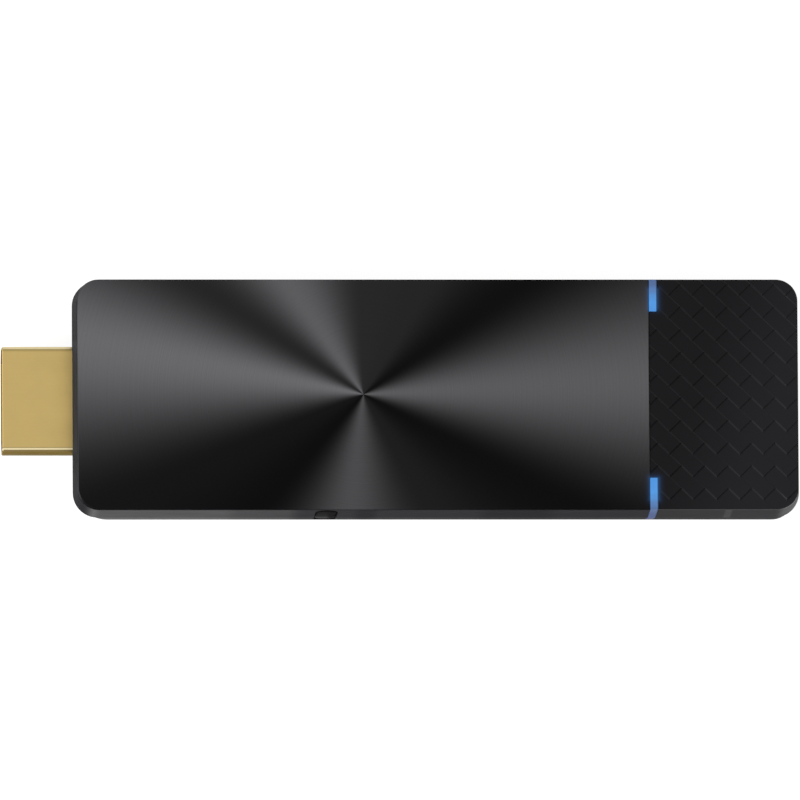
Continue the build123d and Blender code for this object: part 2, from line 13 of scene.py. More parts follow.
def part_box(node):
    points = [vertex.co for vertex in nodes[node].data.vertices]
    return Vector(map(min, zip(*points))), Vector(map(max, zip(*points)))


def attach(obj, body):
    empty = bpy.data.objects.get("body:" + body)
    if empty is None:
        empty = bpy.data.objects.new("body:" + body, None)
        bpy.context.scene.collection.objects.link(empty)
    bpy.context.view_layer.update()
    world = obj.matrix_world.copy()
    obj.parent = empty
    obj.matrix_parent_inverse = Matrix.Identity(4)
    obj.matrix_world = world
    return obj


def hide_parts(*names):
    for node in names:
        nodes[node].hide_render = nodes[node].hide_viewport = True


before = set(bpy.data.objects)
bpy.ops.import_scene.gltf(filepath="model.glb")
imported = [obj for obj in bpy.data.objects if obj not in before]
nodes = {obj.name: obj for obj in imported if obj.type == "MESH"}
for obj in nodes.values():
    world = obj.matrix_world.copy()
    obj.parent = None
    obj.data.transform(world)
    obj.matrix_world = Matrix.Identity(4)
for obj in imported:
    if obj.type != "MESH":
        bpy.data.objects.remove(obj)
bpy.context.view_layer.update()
MM = 0.001

# Housing. Two shells moulded in near-black plastic with a fine satin skin, the walls
# drafted away from the parting line, snapped together along an inner lip.
shell_colour = (0.0062, 0.0061, 0.0078, 1)
shell_edge_colour = (0.022, 0.023, 0.025, 1)
shell_roughness = 0.84
shell_grain = 0.14 * MM
# Hands smooth both side walls near the plug and dull them in places further on: the
# roughness at distances in millimetres from the plug's wall
wall_steps = (
    (0.0, 0.84),
    (1.1, 1.00),
    (2.5, 0.42),
    (3.5, 0.53),
    (19.2, 0.54),
    (21.7, 0.62),
    (27.6, 0.64),
    (29.8, 0.84),
    (36.0, 0.84),
    (37.5, 0.98),
    (38.6, 0.98),
    (39.9, 0.85),
    (51.5, 0.87),
    (54.6, 1.00),
    (60.6, 1.00),
    (63.5, 0.88),
)
wall_side = 12.8 * MM  # from the middle line to where a side wall's wear starts
wall_fade = 0.5 * MM
painted_cool_light_colour = (0.016, 0.0185, 0.0235, 1)  # painted cool light on the end wall round the plug, against the warm light the gold throws on it
cool_light_depth = 0.9 * MM
cool_light_depth_fade = 0.3 * MM
cool_light_side = 6.6 * MM
cool_light_side_fade = 1.4 * MM


def add_node(tree, kind, inputs=None, **settings):
    """A shader node with its properties set, and its inputs set or linked."""
    node = tree.nodes.new(kind)
    for name, value in settings.items():
        setattr(node, name, value)
    for socket, content in (inputs or {}).items():
        if isinstance(content, bpy.types.NodeSocket):
            tree.links.new(content, node.inputs[socket])
        else:
            node.inputs[socket].default_value = content
    return node


def math_node(tree, operation, *values):
    """The output of one Math node on numbers or sockets."""
    node = add_node(tree, "ShaderNodeMath", dict(enumerate(values)), operation=operation)
    return node.outputs[0]


def vector_node(tree, operation, first, second):
    """What one Vector Math node makes of two vectors."""
    node = add_node(
        tree, "ShaderNodeVectorMath", {0: first, 1: second}, operation=operation
    )
    return node.outputs["Value" if operation == "DOT_PRODUCT" else "Vector"]


def scaled(tree, vector, factor):
    """A vector or a colour times one number."""
    node = add_node(
        tree, "ShaderNodeVectorMath", {0: vector, "Scale": factor}, operation="SCALE"
    )
    return node.outputs[0]


def parts(tree, vector):
    """The X, Y and Z outputs of a vector."""
    return add_node(tree, "ShaderNodeSeparateXYZ", {0: vector}).outputs


def object_place(tree):
    """Each point's place in the object's own metres."""
    return add_node(tree, "ShaderNodeTexCoord").outputs["Object"]


def range_node(tree, value, low, high, new_low=0.0, new_high=1.0, smooth=True):
    """A value carried from one range to another, and held inside it."""
    return add_node(
        tree,
        "ShaderNodeMapRange",
        {0: value, 1: low, 2: high, 3: new_low, 4: new_high},
        interpolation_type="SMOOTHSTEP" if smooth else "LINEAR",
    ).outputs[0]


def grey(light):
    """A colour without a hue."""
    return (light, light, light, 1)


def ramp_node(tree, value, steps, interpolation="EASE"):
    """The colour, or the grey, that a ramp of positions and colours gives a value."""
    node = add_node(tree, "ShaderNodeValToRGB", {0: value})
    node.color_ramp.interpolation = interpolation
    stops = node.color_ramp.elements
    for index, (position, colour) in enumerate(steps):
        stop = stops[index] if index < 2 else stops.new(position)
        stop.position = position
        stop.color = colour if isinstance(colour, tuple) else grey(colour)
    return node.outputs[0]


def colour_mix(tree, factor, first, second):
    """The output of one Mix node between two colours."""
    node = add_node(
        tree, "ShaderNodeMix", {0: factor, 6: first, 7: second}, data_type="RGBA"
    )
    return node.outputs[2]


def noise_node(tree, place, size, detail=2.0, stretch=(1, 1, 1)):
    """Noise from 0 to 1 whose features are about one size across, before the stretch."""
    if isinstance(size, bpy.types.NodeSocket):
        fine = scaled(tree, place, math_node(tree, "DIVIDE", 1.0, size))
    else:
        fine = vector_node(tree, "MULTIPLY", place, [1 / (size * side) for side in stretch])
    noise = add_node(
        tree, "ShaderNodeTexNoise", {"Vector": fine, "Scale": 1.0, "Detail": detail}
    )
    return noise.outputs["Fac"]


def varied(tree, middle, noise, change):
    """A middle value that noise moves up and down by at most half the change."""
    off_middle = math_node(tree, "SUBTRACT", noise, 0.5)
    return math_node(tree, "MULTIPLY_ADD", off_middle, change, middle)


def new_group(name, inputs, outputs):
    """A node group with named sockets, what comes in at its entry, and its output node."""
    group = bpy.data.node_groups.new(name, "ShaderNodeTree")
    for socket, (kind, value) in inputs.items():
        made = group.interface.new_socket(
            socket, in_out="INPUT", socket_type=f"NodeSocket{kind}"
        )
        if value is not None:
            made.default_value = value
    for socket, kind in outputs.items():
        group.interface.new_socket(
            socket, in_out="OUTPUT", socket_type=f"NodeSocket{kind}"
        )
    entry = group.nodes.new("NodeGroupInput").outputs
    return group, entry, group.nodes.new("NodeGroupOutput")


def group_node(tree, group, **inputs):
    """The outputs of one use of a node group, with its inputs given by name."""
    return add_node(tree, "ShaderNodeGroup", node_tree=group, inputs=inputs).outputs


def surface_of(material):
    """A material's nodes, and the Principled shader among them."""
    return material.node_tree, material.node_tree.nodes["Principled BSDF"]


def new_material(name, **surface):
    """A node material with its Principled shader, whose sockets are given by name."""
    material = bpy.data.materials.new(name)
    material.use_nodes = True
    tree, shader = surface_of(material)
    for socket, content in surface.items():
        shader.inputs[socket.replace("_", " ")].default_value = content
    return material, tree, shader


def feed(node, **sockets):
    """Links outputs to a node's sockets, given by name."""
    for socket, content in sockets.items():
        node.id_data.links.new(content, node.inputs[socket.replace("_", " ")])


def fed(node, socket):
    """The output that one of a node's sockets is linked to so far."""
    return node.inputs[socket].links[0].from_socket


def bump(shader, height, depth):
    """Feeds a height from 0 to 1, that many metres deep, to the shader's normal."""
    raised = add_node(shader.id_data, "ShaderNodeBump", {"Height": height, "Distance": depth})
    feed(shader, Normal=raised.outputs[0])


def smooth_down(shader, amount):
    """Takes an amount off the shader's roughness."""
    less = math_node(shader.id_data, "SUBTRACT", fed(shader, "Roughness"), amount)
    feed(shader, Roughness=less)


def dress(material, *names):
    """Gives carried-over nodes their finished material."""
    for name in names:
        for place in nodes[name].material_slots:
            place.material = material


# Moulded skin, shared by every plastic: flow mottle in the colour, uneven gloss and the
# mould's fine grain
moulded_skin, entry, close = new_group(
    "moulded_skin",
    {
        "Place": ("Vector", None),
        "Colour": ("Color", None),
        "Mottle": ("Float", 0.2),
        "Gloss Change": ("Float", 0.1),
        "Roughness": ("Float", 0.4),
        "Grain": ("Float", shell_grain),
    },
    {"Colour": "Color", "Roughness": "Float", "Height": "Float"},
)
flow = noise_node(moulded_skin, entry["Place"], 6 * MM, detail=4.0)
shade = varied(moulded_skin, 1.0, flow, entry["Mottle"])
smears = noise_node(moulded_skin, entry["Place"], 2.2 * MM, detail=3.0, stretch=(3, 1, 1))
feed(
    close,
    Colour=scaled(moulded_skin, entry["Colour"], shade),
    Roughness=varied(moulded_skin, entry["Roughness"], smears, entry["Gloss Change"]),
    Height=noise_node(moulded_skin, entry["Place"], entry["Grain"], detail=1.5),
)

# Edge wear, shared by plastics and metals: a broken line where two faces meet
edge_width = 0.09 * MM
edge_wear, entry, close = new_group(
    "edge_wear", {"Place": ("Vector", None), "Amount": ("Float", 0.5)}, {"Mask": "Float"}
)
rounded = add_node(edge_wear, "ShaderNodeBevel", {"Radius": edge_width}, samples=4)
facing = add_node(edge_wear, "ShaderNodeNewGeometry").outputs["Normal"]
agreement = vector_node(edge_wear, "DOT_PRODUCT", rounded.outputs[0], facing)
edge = range_node(edge_wear, agreement, 0.995, 0.90)
patches = noise_node(edge_wear, entry["Place"], 0.8 * MM, detail=3.0)
broken = math_node(edge_wear, "MULTIPLY", edge, range_node(edge_wear, patches, 0.3, 0.7, 0.4, 1.0))
feed(close, Mask=math_node(edge_wear, "MULTIPLY", broken, entry["Amount"]))


def moulded_material(
    name, colour, edge_colour, *, roughness, grain, grain_depth, wear, **surface
):
    """A moulded plastic with the shared skin, and lighter where its edges are rubbed."""
    material, tree, shader = new_material(name, **surface)
    place = object_place(tree)
    skin = group_node(
        tree, moulded_skin, Place=place, Colour=colour, Roughness=roughness, Grain=grain
    )
    worn = group_node(tree, edge_wear, Place=place, Amount=wear)["Mask"]
    feed(
        shader,
        Base_Color=colour_mix(tree, worn, skin["Colour"], edge_colour),
        Roughness=skin["Roughness"],
    )
    bump(shader, skin["Height"], grain_depth)
    return material


shell_plastic = moulded_material(
    "shell_plastic",
    shell_colour,
    shell_edge_colour,
    roughness=shell_roughness,
    grain=shell_grain,
    grain_depth=0.004 * MM,
    wear=0.6,
    Specular_IOR_Level=0.155,
    Specular_Tint=(0.97, 0.95, 1.0, 1),
)
tree, shader = surface_of(shell_plastic)
part = parts(tree, object_place(tree))
aside = math_node(tree, "ABSOLUTE", part["Y"])
shell_low, shell_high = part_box("lower_housing")
shell_length = shell_high.x - shell_low.x
from_plug = math_node(tree, "SUBTRACT", part["X"], shell_low.x)
worn_roughness = ramp_node(
    tree,
    math_node(tree, "DIVIDE", from_plug, shell_length),
    [(distance * MM / shell_length, roughness) for distance, roughness in wall_steps],
)
on_side = range_node(tree, aside, wall_side, wall_side + wall_fade)
worn_smooth = math_node(tree, "SUBTRACT", shell_roughness, worn_roughness)
smooth_down(shader, math_node(tree, "MULTIPLY", worn_smooth, on_side))
# The end wall round the plug is painted lighter and cooler, standing in for light
cool_light_end = shell_low.x + cool_light_depth
painted_cool_light = math_node(
    tree,
    "MULTIPLY",
    range_node(tree, part["X"], cool_light_end + cool_light_depth_fade, cool_light_end),
    range_node(tree, aside, cool_light_side + cool_light_side_fade, cool_light_side),
)
feed(shader, Base_Color=colour_mix(tree, painted_cool_light, fed(shader, "Base Color"), painted_cool_light_colour))
dress(shell_plastic, "lower_housing", "upper_housing")

# Video plug. A folded shell of gold-flashed steel round a black insulator, with gold
# contacts in two rows and a moulded block behind that the ribs hold.
plug_gold_colour = (0.552, 0.402, 0.152, 1)
plug_gold_bright = (0.70, 0.55, 0.27, 1)
contact_gold_colour = (0.72, 0.48, 0.16, 1)

# Drawn metal, shared by every metal: streaks along the strip, stains and a fine tooth
drawn_metal, entry, close = new_group(
    "drawn_metal",
    {
        "Place": ("Vector", None),
        "Colour": ("Color", None),
        "Stain": ("Float", 0.12),
        "Streak": ("Float", 0.06),
        "Roughness": ("Float", 0.3),
        "Clean Roughness": ("Float", 0.12),
    },
    {"Colour": "Color", "Roughness": "Float", "Height": "Float"},
)
streaks = noise_node(drawn_metal, entry["Place"], 0.10 * MM, stretch=(60, 1, 1))
stains = noise_node(drawn_metal, entry["Place"], 3.0 * MM, detail=4.0)
streaked = varied(drawn_metal, 1.0, streaks, entry["Streak"])
stained = varied(drawn_metal, streaked, stains, entry["Stain"])
clean = math_node(drawn_metal, "SUBTRACT", 1.0, stains)
feed(
    close,
    Colour=scaled(drawn_metal, entry["Colour"], stained),
    Roughness=math_node(
        drawn_metal, "MULTIPLY_ADD", clean, entry["Clean Roughness"], entry["Roughness"]
    ),
    Height=streaks,
)


def metal_material(name, colour, edge_colour, *, roughness, streak_depth, wear, **surface):
    """A drawn or stamped metal with the shared streaks, and brighter at rubbed edges."""
    material, tree, shader = new_material(name, Metallic=1.0, **surface)
    place = object_place(tree)
    metal = group_node(tree, drawn_metal, Place=place, Colour=colour, Roughness=roughness)
    worn = group_node(tree, edge_wear, Place=place, Amount=wear)["Mask"]
    feed(
        shader,
        Base_Color=colour_mix(tree, worn, metal["Colour"], edge_colour),
        Roughness=metal["Roughness"],
    )
    bump(shader, metal["Height"], streak_depth)
    return material


# Painted highlights and shade along the plug's bends: each stop is a leaning of the surface, from
# the front at -1 to the rear at 1, how light the plating is painted there, and how pale
plug_painted_sheen = (
    (-1.00, 0.38, 0.0),
    (-0.53, 0.38, 0.0),
    (-0.43, 1.15, 1.0),
    (-0.30, 1.55, 1.0),
    (-0.20, 1.10, 1.0),
    (-0.10, 0.60, 0.0),
    (-0.03, 0.80, 0.0),
    (0.01, 1.00, 0.0),
    (0.20, 0.81, 0.0),
    (0.40, 0.61, 0.0),
    (0.56, 0.85, 0.8),
    (0.70, 1.35, 1.0),
    (1.00, 1.35, 1.0),
)
pale_highlight = (1.0, 1.17, 1.85)  # the red, green and blue of a pale painted highlight, against plain gold
most_light = 3.0  # the ramp's colours are divided by this, so that they stay under 1
tip_light = 1.25  # of the lip at the open end: the faces turned towards it are this much lighter
painted_bend_steps = []
for lean, light, pale in plug_painted_sheen:
    colour = [light / most_light * (1 + pale * (tone - 1)) for tone in pale_highlight]
    painted_bend_steps.append((lean / 2 + 0.5, (*colour, 1)))
plug_gold = metal_material(
    "plug_gold",
    plug_gold_colour,
    plug_gold_bright,
    roughness=0.26,
    streak_depth=0.002 * MM,
    wear=0.2,
    Specular_Tint=(0.45, 0.38, 0.22, 1),
)
tree, shader = surface_of(plug_gold)
leaning = parts(tree, add_node(tree, "ShaderNodeNewGeometry").outputs["Normal"])
from_front = math_node(tree, "MULTIPLY_ADD", leaning["Y"], 0.5, 0.5)
# The plug's highlights and dark walls are painted into its colour by how each face leans
painted_bends = ramp_node(tree, from_front, painted_bend_steps, interpolation="LINEAR")
painted_gold = vector_node(tree, "MULTIPLY", fed(shader, "Base Color"), painted_bends)
tip = range_node(tree, leaning["X"], -0.3, -0.8, most_light, most_light * tip_light)
feed(shader, Base_Color=scaled(tree, painted_gold, tip))
dress(plug_gold, "plug_shell")
dress(
    metal_material(
        "contact_gold",
        contact_gold_colour,
        plug_gold_bright,
        roughness=0.18,
        streak_depth=0.001 * MM,
        wear=0.3,
    ),
    "plug_contacts",
    "power_socket_contacts",
)
dress(
    moulded_material(
        "insulator_plastic",
        (0.010, 0.010, 0.011, 1),
        grey(0.05),
        roughness=0.5,
        grain=0.2 * MM,
        grain_depth=0.005 * MM,
        wear=0.5,
    ),
    "plug_insulator",
    "plug_rear_block",
    "power_socket_tongue",
)

# Main board. Glass-fibre laminate under green solder mask, with copper tracks and plated
# holes showing through the mask; four screws hold it to the tray's bosses.
mask_colour = (0.004, 0.040, 0.016, 1)
track_colour = (0.010, 0.090, 0.036, 1)
laminate_colour = (0.30, 0.26, 0.12, 1)
via_colour = (0.50, 0.36, 0.14, 1)
copper_thickness = 0.02 * MM
board_skin, tree, shader = new_material(
    "board_skin", Coat_Weight=0.5, Coat_Roughness=0.15, Specular_IOR_Level=0.4
)
place = object_place(tree)
millimetres = scaled(tree, place, 1 / MM)
tracks = add_node(
    tree,
    "ShaderNodeTexBrick",
    {
        "Vector": millimetres,
        "Color1": grey(0),
        "Color2": grey(0),
        "Mortar": grey(1),
        "Scale": 1.0,
        "Mortar Size": 0.09,
        "Mortar Smooth": 0.1,
        "Brick Width": 3.7,
        "Row Height": 0.55,
    },
    offset=0.35,
    squash=0.6,
    squash_frequency=3,
).outputs["Color"]
pours = range_node(tree, noise_node(tree, place, 5 * MM, detail=0.0), 0.50, 0.52)
copper = math_node(tree, "MAXIMUM", tracks, pours)
holes = add_node(tree, "ShaderNodeTexVoronoi", {"Vector": millimetres, "Scale": 0.55})
rings = range_node(tree, holes.outputs["Distance"], 0.13, 0.11)
upright = parts(tree, add_node(tree, "ShaderNodeNewGeometry").outputs["True Normal"])["Z"]
cut_edge = range_node(tree, math_node(tree, "ABSOLUTE", upright), 0.6, 0.4)
masked = colour_mix(tree, copper, mask_colour, track_colour)
plated = colour_mix(tree, rings, masked, via_colour)
feed(
    shader,
    Base_Color=colour_mix(tree, cut_edge, plated, laminate_colour),
    Roughness=range_node(tree, cut_edge, 0.0, 1.0, 0.32, 0.8, smooth=False),
)
bump(shader, copper, copper_thickness)
dress(board_skin, "main_board")
dress(
    metal_material(
        "screw_steel",
        (0.42, 0.42, 0.43, 1),
        (0.75, 0.75, 0.76, 1),
        roughness=0.32,
        streak_depth=0.002 * MM,
        wear=0.6,
    ),
    "board_screws",
)

# Chips and small parts on the board. Moulded epoxy packages, a ceramic-and-tin row of
# capacitors, sintered inductors and a canned crystal, all soldered flat.
dress(
    moulded_material(
        "epoxy",
        (0.012, 0.012, 0.013, 1),
        grey(0.05),
        roughness=0.55,
        grain=0.08 * MM,
        grain_depth=0.006 * MM,
        wear=0.6,
    ),
    "soc_chip",
    "memory_chips",
    "radio_chip",
    "flash_chip",
    "switch_body",
)
dress(
    moulded_material(
        "ferrite",
        (0.035, 0.035, 0.038, 1),
        grey(0.10),
        roughness=0.7,
        grain=0.12 * MM,
        grain_depth=0.02 * MM,
        wear=0.8,
    ),
    "power_inductors",
)
dress(
    metal_material(
        "crystal_can",
        (0.55, 0.54, 0.50, 1),
        (0.8, 0.8, 0.78, 1),
        roughness=0.25,
        streak_depth=0.001 * MM,
        wear=0.5,
    ),
    "crystal",
)

capacitor_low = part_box("capacitors")[0]
capacitor_length = 1.0 * MM
capacitor_pitch = 1.8 * MM
terminal_length = 0.22 * MM
terminal_blur = 0.02 * MM
tin_colour = (0.62, 0.62, 0.60, 1)
rounding = 0.001 * MM  # the row starts this much early, so that its first face counts too
capacitor_body, tree, shader = new_material("capacitor_body")
place = object_place(tree)
along = math_node(tree, "SUBTRACT", parts(tree, place)["X"], capacitor_low.x - rounding)
turn = math_node(tree, "FRACT", math_node(tree, "DIVIDE", along, capacitor_pitch))
from_middle = math_node(
    tree, "MULTIPLY_ADD", turn, capacitor_pitch, -capacitor_length / 2
)
terminal_start = capacitor_length / 2 - terminal_length
terminal = range_node(
    tree,
    math_node(tree, "ABSOLUTE", from_middle),
    terminal_start - terminal_blur,
    terminal_start + terminal_blur,
)
speckle = noise_node(tree, place, 0.1 * MM)
ceramic = colour_mix(tree, speckle, (0.22, 0.13, 0.06, 1), (0.30, 0.19, 0.10, 1))
feed(
    shader,
    Base_Color=colour_mix(tree, terminal, ceramic, tin_colour),
    Metallic=terminal,
    Roughness=range_node(tree, speckle, 0.0, 1.0, 0.3, 0.5),
)
bump(shader, speckle, 0.004 * MM)
dress(capacitor_body, "capacitors")

# Status lights. White chip packages with a clear yellowish window of phosphor on top,
# one under the tail of each light guide.
led_low, led_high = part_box("status_leds")
phosphor_colour = (0.75, 0.62, 0.18, 1)
window_side = 0.40 * MM  # from the package's middle
window_blur = 0.06 * MM
window_depth = 0.05 * MM  # below the package's top
window_fade = 0.04 * MM
led_body, tree, shader = new_material("led_body", Specular_IOR_Level=0.5)
place = object_place(tree)
part = parts(tree, place)
led_offset = math_node(tree, "SUBTRACT", part["X"], (led_low.x + led_high.x) / 2)
window_low = led_high.z - window_depth
window = math_node(
    tree,
    "MULTIPLY",
    range_node(
        tree, math_node(tree, "ABSOLUTE", led_offset), window_side + window_blur, window_side
    ),
    range_node(tree, part["Z"], window_low, window_low + window_fade),
)
haze = noise_node(tree, place, 0.15 * MM)
white_package = colour_mix(tree, haze, (0.62, 0.62, 0.60, 1), (0.72, 0.72, 0.70, 1))
feed(
    shader,
    Base_Color=colour_mix(tree, window, white_package, phosphor_colour),
    Roughness=range_node(tree, window, 0.0, 1.0, 0.45, 0.2),
)
bump(shader, haze, 0.003 * MM)
dress(led_body, "status_leds")

# Radio shields and heat path. Tin-plated frame and lids over the chips, soft grey pads of
# filled silicone, and a rolled aluminium spreader under the deck.
dress(
    metal_material(
        "tin_plate",
        (0.56, 0.55, 0.53, 1),
        (0.80, 0.80, 0.79, 1),
        roughness=0.34,
        streak_depth=0.003 * MM,
        wear=0.6,
    ),
    "shield_frame",
    "shield_lid",
    "radio_can",
)
dress(
    moulded_material(
        "thermal_pad",
        (0.20, 0.24, 0.30, 1),
        (0.28, 0.32, 0.38, 1),
        roughness=0.75,
        grain=0.25 * MM,
        grain_depth=0.02 * MM,
        wear=0.3,
    ),
    "soc_thermal_pad",
    "lid_thermal_pad",
)
dress(
    metal_material(
        "rolled_aluminium",
        (0.62, 0.63, 0.65, 1),
        (0.85, 0.85, 0.86, 1),
        roughness=0.38,
        streak_depth=0.004 * MM,
        wear=0.5,
    ),
    "heat_spreader",
)

# Power socket and antennas. Stamped nickel-plated steel: a folded socket shell at the far
# end, and two slotted strips that stand on their legs under the cap.
dress(
    metal_material(
        "nickel_steel",
        (0.47, 0.46, 0.43, 1),
        (0.78, 0.77, 0.74, 1),
        roughness=0.28,
        streak_depth=0.002 * MM,
        wear=0.6,
    ),
    "power_socket_shell",
    "antenna_rear",
    "antenna_front",
)

# Side key and its switch. A matt black key, smoother low and towards the plug, where a lighter
# patch is painted on as light, with painted shade at its top and far end; it presses a small
# plunger behind the wall.
key_low, key_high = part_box("side_key")
key_lit_centre = key_low.x + 1.25 * MM
key_lit_side = 1.5 * MM
key_lit_height = 11.0 * MM
key_lit_start = 1.08  # times the side and the height of the painted light patch: it ends out here,
key_lit_full = 0.80  # and is fully painted light inside this
key_lit_low = key_low.z + 1.5 * MM  # full up to this height too, and nothing at the key's top
key_painted_shade = 0.1  # of the key's own colour, painted shade where the patch does not reach
key_roughness = 1.0
key_lit_roughness = 0.66
key_plastic = moulded_material(
    "key_plastic",
    (0.0130, 0.0132, 0.0138, 1),
    (0.024, 0.025, 0.027, 1),
    roughness=key_roughness,
    grain=0.10 * MM,
    grain_depth=0.002 * MM,
    wear=0.3,
    Specular_IOR_Level=0.06,
)


def length_node(tree, first, second):
    """The length of the slant whose two sides are given."""
    squares = [math_node(tree, "MULTIPLY", side, side) for side in (first, second)]
    return math_node(tree, "SQRT", math_node(tree, "ADD", *squares))


tree, shader = surface_of(key_plastic)
part = parts(tree, object_place(tree))
across = math_node(tree, "DIVIDE", math_node(tree, "SUBTRACT", part["X"], key_lit_centre), key_lit_side)
up = math_node(tree, "DIVIDE", math_node(tree, "SUBTRACT", part["Z"], key_low.z), key_lit_height)
# The key is painted light in a patch low and towards the plug, and painted in shade around it
key_painted_light_mask = math_node(
    tree,
    "MULTIPLY",
    range_node(tree, length_node(tree, across, up), key_lit_start, key_lit_full),
    range_node(tree, part["Z"], key_high.z, key_lit_low, smooth=False),
)
key_painted_light = range_node(tree, key_painted_light_mask, 0.0, 1.0, key_painted_shade, 1.0, smooth=False)
feed(shader, Base_Color=scaled(tree, fed(shader, "Base Color"), key_painted_light))
smooth_down(shader, math_node(tree, "MULTIPLY", key_painted_light_mask, key_roughness - key_lit_roughness))
dress(key_plastic, "side_key")
dress(
    moulded_material(
        "plunger_plastic",
        (0.45, 0.44, 0.41, 1),
        (0.6, 0.6, 0.57, 1),
        roughness=0.45,
        grain=0.1 * MM,
        grain_depth=0.003 * MM,
        wear=0.4,
    ),
    "switch_plunger",
)

# Light guides. Clear acrylic bars let into the seam and lit blue from inside, brightest
# at their inner ends and paler where they turn down over the wall.
guide_low, guide_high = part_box("light_guide_rear")
glow_steps = (
    (0.00, (0.068, 0.275, 0.690, 1)),
    (0.18, (0.076, 0.300, 0.725, 1)),
    (0.28, (0.078, 0.262, 0.620, 1)),
    (0.40, (0.084, 0.185, 0.420, 1)),
    (0.50, (0.075, 0.130, 0.280, 1)),
    (0.68, (0.054, 0.082, 0.210, 1)),
    (1.00, (0.050, 0.050, 0.120, 1)),
)
dimmed_margin = 0.145 * MM  # along the edge next to the cap, where the glow is turned down
margin_light = 0.16
front_lead = 0.34 * MM  # the front light reaches this much further out, the rear one less
side_stretch = 0.30  # how slowly the light fades down the side wall, against the top
guide_acrylic, tree, shader = new_material(
    "guide_acrylic", Emission_Strength=1.0, Specular_IOR_Level=0.10
)
place = object_place(tree)
part = parts(tree, place)
outward = math_node(tree, "SUBTRACT", math_node(tree, "ABSOLUTE", part["Y"]), guide_low.y)
downward = math_node(tree, "SUBTRACT", guide_high.z, part["Z"])
travelled = math_node(
    tree,
    "MULTIPLY_ADD",
    math_node(tree, "SIGN", part["Y"]),
    front_lead,
    math_node(tree, "MULTIPLY_ADD", downward, side_stretch, outward),
)
whole_travel = guide_high.y - guide_low.y + side_stretch * (guide_high.z - guide_low.z)
glow = ramp_node(tree, math_node(tree, "DIVIDE", travelled, whole_travel), glow_steps)
margin_start = guide_high.x - dimmed_margin
cloud = noise_node(tree, place, 0.7 * MM, detail=3.0)
brightness = math_node(
    tree,
    "MULTIPLY",
    range_node(tree, cloud, 0.0, 1.0, 0.94, 1.06),
    range_node(
        tree, part["X"], margin_start, margin_start + dimmed_margin / 2, 1.0, margin_light
    ),
)
feed(
    shader,
    Emission_Color=scaled(tree, glow, brightness),
    Base_Color=colour_mix(tree, cloud, (0.010, 0.016, 0.028, 1), (0.014, 0.022, 0.036, 1)),
    Roughness=range_node(tree, cloud, 0.0, 1.0, 0.64, 0.72),
)
bump(shader, cloud, 0.002 * MM)
dress(guide_acrylic, "light_guide_front", "light_guide_rear")

# Light that spills from a guide's top over the pieces beside it, fading within a
# millimetre; the plate and the cap both catch it
spill_colour = (0.018, 0.066, 0.180)
spill_reach = 0.22 * MM
spill_start = 0.20 * MM  # from a guide's inner end to where its spill is full
spill_lead = 0.15 * MM  # less than that beside the front guide, and more beside the rear one
spill_stop = 1.7 * MM  # from where it fades again to the guide's outer end
light_spill, entry, close = new_group(
    "light_spill", {"Place": ("Vector", None)}, {"Colour": "Color"}
)
part = parts(light_spill, entry["Place"])
aside = math_node(light_spill, "ABSOLUTE", part["Y"])
offset = math_node(light_spill, "SUBTRACT", part["X"], (guide_low.x + guide_high.x) / 2)
past_side = math_node(
    light_spill,
    "SUBTRACT",
    math_node(light_spill, "ABSOLUTE", offset),
    (guide_high.x - guide_low.x) / 2,
)
spill_from = math_node(
    light_spill,
    "MULTIPLY_ADD",
    math_node(light_spill, "SIGN", part["Y"]),
    spill_lead,
    guide_low.y + spill_start,
)
past_end = math_node(
    light_spill,
    "MAXIMUM",
    math_node(light_spill, "SUBTRACT", spill_from, aside),
    math_node(light_spill, "SUBTRACT", aside, guide_high.y - spill_stop),
)
from_guide = length_node(
    light_spill, *(math_node(light_spill, "MAXIMUM", gap, 0.0) for gap in (past_side, past_end))
)
fading = math_node(
    light_spill, "EXPONENT", math_node(light_spill, "DIVIDE", from_guide, -spill_reach)
)
feed(close, Colour=scaled(light_spill, spill_colour, fading))

# Spun top plate. A sheet of dark anodised aluminium, turned against a tool about its
# middle, with a painted sheen that lies in fans round that point; a thin film glues it down.
plate_low, plate_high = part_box("top_plate")
spin_centre = (plate_low + plate_high) / 2
groove_width = 0.16 * MM
groove_depth = 0.0015 * MM
plate_roughness = 0.36
plate_roughness_change = 0.03
ring_low = 0.2  # nearly all of the noise that makes the rings lies between these
ring_high = 0.8
plate_tint = (1.0, 0.995, 1.04)
plate_edge_colour = (0.030, 0.030, 0.032, 1)
end_rim_colour = (0.050, 0.049, 0.052, 1)  # the two end chamfers take this flat grey in place of the sheen
# Each fan of painted sheen: its bearing round the middle, from +X towards +Y, and the square
# root of how light it is painted there
painted_sheen_fans = (
    (3, 0.320),
    (35, 0.074),
    (60, 0.135),
    (90, 0.144),
    (124, 0.324),
    (146, 0.138),
    (169, 0.370),
    (203, 0.088),
    (228, 0.068),
    (263, 0.263),
    (300, 0.113),
    (332, 0.070),
)
first_bearing, first_light = painted_sheen_fans[0]
painted_fan_steps = [((bearing - first_bearing) / 360, light) for bearing, light in painted_sheen_fans]
painted_fan_steps.append((1.0, first_light))
plate_metal, tree, shader = new_material(
    "plate_metal",
    Metallic=1.0,
    Emission_Strength=1.0,
    Specular_Tint=(0.16, 0.16, 0.17, 1),
)
place = object_place(tree)
part = parts(tree, vector_node(tree, "SUBTRACT", place, spin_centre))
bearing = math_node(
    tree, "DIVIDE", math_node(tree, "ARCTAN2", part["Y"], part["X"]), math.tau
)
turned = math_node(
    tree, "FRACT", math_node(tree, "SUBTRACT", bearing, first_bearing / 360)
)
